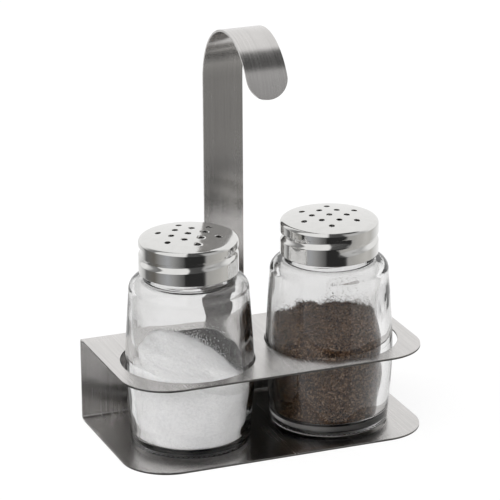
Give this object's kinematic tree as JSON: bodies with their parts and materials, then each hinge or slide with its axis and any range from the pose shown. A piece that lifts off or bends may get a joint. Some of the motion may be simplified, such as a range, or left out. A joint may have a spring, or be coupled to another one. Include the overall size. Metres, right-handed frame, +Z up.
{
  "type": "salt and pepper caddy",
  "caption": "Table caddy for salt and pepper: folded steel stand with holed top plate and hooked carrying strap, holding glass shakers with pierced screw caps.",
  "frame": {"origin": "on the surface the stand rests on, below the middle of the whole caddy's bounding box", "axes": "+Z up, the open front of the stand faces -Y, the back wall and strap are at +Y, and +X runs from the salt shaker to the pepper shaker"},
  "size_m": [0.12, 0.066, 0.1556],
  "materials": {
    "brushed_stainless": "satin",
    "polished_stainless": "polished",
    "clear_glass": "gloss",
    "clear_soft_plastic": "satin",
    "salt_grains": "matte",
    "ground_pepper": "matte"
  },
  "bodies": {
    "stand": {"stand_body": "brushed_stainless", "hook_handle": "brushed_stainless"},
    "salt_shaker": {"salt_bottle": "clear_glass", "salt_fill": "salt_grains"},
    "salt_seal": {"salt_seal_ring": "clear_soft_plastic"},
    "salt_screw_cap": {"salt_cap": "polished_stainless"},
    "pepper_shaker": {"pepper_bottle": "clear_glass", "pepper_fill": "ground_pepper"},
    "pepper_seal": {"pepper_seal_ring": "clear_soft_plastic"},
    "pepper_screw_cap": {"pepper_cap": "polished_stainless"}
  },
  "joints": [
    {"name": "salt_shaker_lift", "type": "slide", "parent": "stand", "child": "salt_shaker", "axis": [0, 0, 1], "range_m": [0, 0.045]},
    {"name": "salt_cap_rise", "type": "slide", "parent": "salt_shaker", "child": "salt_seal", "axis": [0, 0, 1], "range_m": [0, 0.0155]},
    {"name": "salt_cap_turn", "type": "hinge", "parent": "salt_seal", "child": "salt_screw_cap", "pos_m": [-0.0285, -0.0036, 0.075], "axis": [0, 0, 1], "range_deg": [0, 720]},
    {"name": "pepper_shaker_lift", "type": "slide", "parent": "stand", "child": "pepper_shaker", "axis": [0, 0, 1], "range_m": [0, 0.045]},
    {"name": "pepper_cap_rise", "type": "slide", "parent": "pepper_shaker", "child": "pepper_seal", "axis": [0, 0, 1], "range_m": [0, 0.0155]},
    {"name": "pepper_cap_turn", "type": "hinge", "parent": "pepper_seal", "child": "pepper_screw_cap", "pos_m": [0.0285, -0.0036, 0.075], "axis": [0, 0, 1], "range_deg": [0, 720]}
  ],
  "couplings": [
    {"joint": "salt_cap_rise", "follows": "salt_cap_turn", "m_per_rad": 0.0011459},
    {"joint": "pepper_cap_rise", "follows": "pepper_cap_turn", "m_per_rad": 0.0011459}
  ]
}
